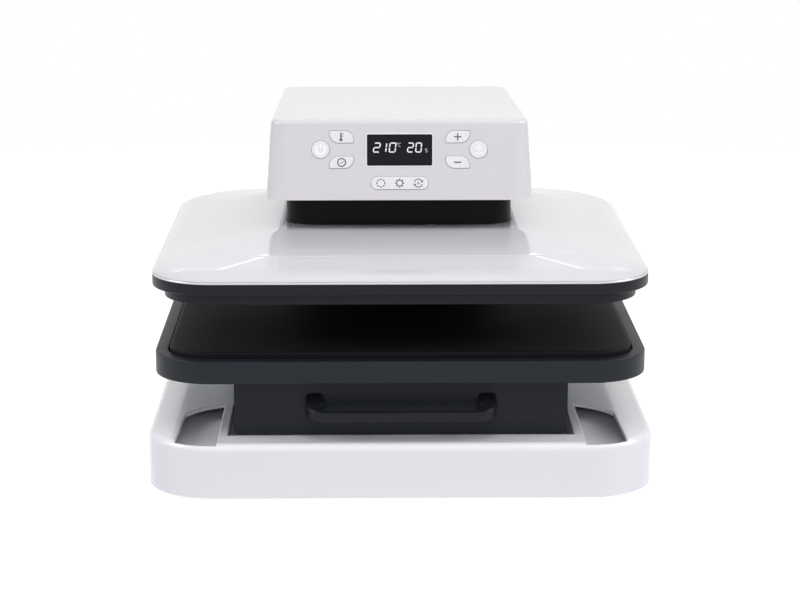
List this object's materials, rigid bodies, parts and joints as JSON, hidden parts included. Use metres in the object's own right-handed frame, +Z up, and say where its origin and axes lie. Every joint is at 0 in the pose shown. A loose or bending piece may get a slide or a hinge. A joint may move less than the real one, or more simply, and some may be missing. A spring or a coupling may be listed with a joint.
{
  "type": "automatic heat press",
  "caption": "Countertop heat press with a motor-driven upper platen on a neck, a lower platen on a pull-out drawer, and a button panel on an overhanging head.",
  "frame": {"origin": "under the middle of the machine, on the surface the feet stand on", "axes": "+Z up, +Y towards the back, +X to the right as seen from the front; the control panel and the drawer handle face -Y"},
  "size_m": [0.418, 0.492, 0.2938],
  "materials": {
    "white_gloss": "glossy moulded white",
    "white_satin": "satin moulded white",
    "white_button": "glossy white",
    "black_satin": "satin black powder coat",
    "black_plastic": "fine matt black",
    "black_cast": "casting with a satin black powder coat",
    "black_sleeve": "smooth black sleeve",
    "black_lens": "glossy smoked window",
    "silicone": "smooth black silicone",
    "foot_rubber": "matt rubber",
    "frame_steel": "black painted steel",
    "plain_steel": "plain rolled steel",
    "zinc_steel": "bright zinc",
    "screw_steel": "zinc screws",
    "rod_chrome": "ground and chromed",
    "cast_aluminium": "cast, bead blasted",
    "coated_aluminium": "black non-stick coat",
    "bronze": "turned bronze",
    "glass_fibre": "glass fibre blanket",
    "circuit": "green circuit board",
    "motor_black": "painted motor can",
    "belt_rubber": "toothed belt rubber"
  },
  "bodies": {
    "press": {"heat_plate": "coated_aluminium", "heating_element": "plain_steel", "insulation": "glass_fibre", "thermal_cutout": "zinc_steel", "skirt": "black_plastic", "bezel": "black_plastic", "heat_shield": "zinc_steel", "pressure_plate": "cast_aluminium", "platen_bolts": "screw_steel", "upper_cover": "white_gloss", "neck_sleeve": "black_sleeve", "guide_rods": "rod_chrome", "lead_screw": "plain_steel"},
    "drawer": {"carriage": "black_satin", "drawer_fascia": "black_satin", "handle": "black_plastic", "handle_screws": "screw_steel", "lower_tray": "black_cast", "lower_plate": "cast_aluminium", "silicone_pad": "silicone", "slide_inner": "zinc_steel"},
    "slide_middle": {"slide_middle": "zinc_steel"},
    "drive_nut": {"drive_nut": "bronze", "nut_pulley": "cast_aluminium"},
    "motor_rotor": {"motor_pulley": "cast_aluminium"},
    "rocker": {"rocker": "black_plastic"},
    "fan_rotor": {"fan_rotor": "black_plastic"},
    "power_button": {"power_button": "white_button"},
    "start_button": {"start_button": "white_button"},
    "temperature_button": {"temperature_button": "white_button"},
    "timer_button": {"timer_button": "white_button"},
    "plus_button": {"plus_button": "white_button"},
    "minus_button": {"minus_button": "white_button"},
    "mode_button": {"mode_button": "white_button"},
    "frame": {"base_shell": "white_gloss", "base_liner": "white_satin", "base_pan": "frame_steel", "rubber_feet": "foot_rubber", "base_frame": "frame_steel", "side_plates": "frame_steel", "column_web": "frame_steel", "frame_screws": "screw_steel", "column_cover": "white_gloss", "rear_cover": "white_satin", "inlet_body": "black_plastic", "inlet_pins": "bronze", "rocker_switch_body": "black_plastic", "fan_frame": "black_plastic", "power_board": "circuit", "slide_brackets": "zinc_steel", "slide_outer": "zinc_steel", "guide_bushes": "bronze", "nut_bearings": "zinc_steel", "drive_belt": "belt_rubber", "drive_motor": "motor_black", "drive_bridge": "cast_aluminium", "head_shell": "white_satin", "head_floor": "white_satin", "control_board": "circuit", "display_lens": "black_lens"}
  },
  "joints": [
    {"name": "press_slide", "type": "slide", "parent": "frame", "child": "press", "axis": [0, 0, -1], "range_m": [0, 0.0385]},
    {"name": "nut_spin", "type": "hinge", "parent": "frame", "child": "drive_nut", "pos_m": [0, -0.034, 0.26], "axis": [0, 0, 1], "range_deg": [0, 1387]},
    {"name": "motor_spin", "type": "hinge", "parent": "frame", "child": "motor_rotor", "pos_m": [-0.046, -0.034, 0.26], "axis": [0, 0, 1], "range_deg": [0, 2773]},
    {"name": "drawer_slide", "type": "slide", "parent": "frame", "child": "drawer", "axis": [0, -1, 0], "range_m": [0, 0.22]},
    {"name": "middle_slide", "type": "slide", "parent": "frame", "child": "slide_middle", "axis": [0, -1, 0], "range_m": [0, 0.111]},
    {"name": "rocker_tilt", "type": "hinge", "parent": "frame", "child": "rocker", "pos_m": [0.008, 0.231, 0.084], "axis": [-1, 0, 0], "range_deg": [0, 16]},
    {"name": "fan_spin", "type": "hinge", "parent": "frame", "child": "fan_rotor", "pos_m": [0, 0.224, 0.186], "axis": [0, 1, 0], "continuous": true},
    {"name": "power_button_press", "type": "slide", "parent": "frame", "child": "power_button", "axis": [0, 0.9972, -0.075], "range_m": [0, 0.0005], "stiffness_N_per_m": 1200, "springref_m": -0.0004},
    {"name": "start_button_press", "type": "slide", "parent": "frame", "child": "start_button", "axis": [0, 0.9972, -0.075], "range_m": [0, 0.0005], "stiffness_N_per_m": 1200, "springref_m": -0.0004},
    {"name": "temperature_button_press", "type": "slide", "parent": "frame", "child": "temperature_button", "axis": [0, 0.9972, -0.075], "range_m": [0, 0.0005], "stiffness_N_per_m": 1200, "springref_m": -0.0004},
    {"name": "timer_button_press", "type": "slide", "parent": "frame", "child": "timer_button", "axis": [0, 0.9972, -0.075], "range_m": [0, 0.0005], "stiffness_N_per_m": 1200, "springref_m": -0.0004},
    {"name": "plus_button_press", "type": "slide", "parent": "frame", "child": "plus_button", "axis": [0, 0.9972, -0.075], "range_m": [0, 0.0005], "stiffness_N_per_m": 1200, "springref_m": -0.0004},
    {"name": "minus_button_press", "type": "slide", "parent": "frame", "child": "minus_button", "axis": [0, 0.9972, -0.075], "range_m": [0, 0.0005], "stiffness_N_per_m": 1200, "springref_m": -0.0004},
    {"name": "mode_button_press", "type": "slide", "parent": "frame", "child": "mode_button", "axis": [0, 0.9972, -0.075], "range_m": [0, 0.0005], "stiffness_N_per_m": 1200, "springref_m": -0.0004}
  ],
  "couplings": [
    {"joint": "nut_spin", "follows": "press_slide", "rad_per_m": 628.32},
    {"joint": "motor_spin", "follows": "press_slide", "rad_per_m": 1256.6},
    {"joint": "middle_slide", "follows": "drawer_slide", "ratio": 0.5}
  ]
}
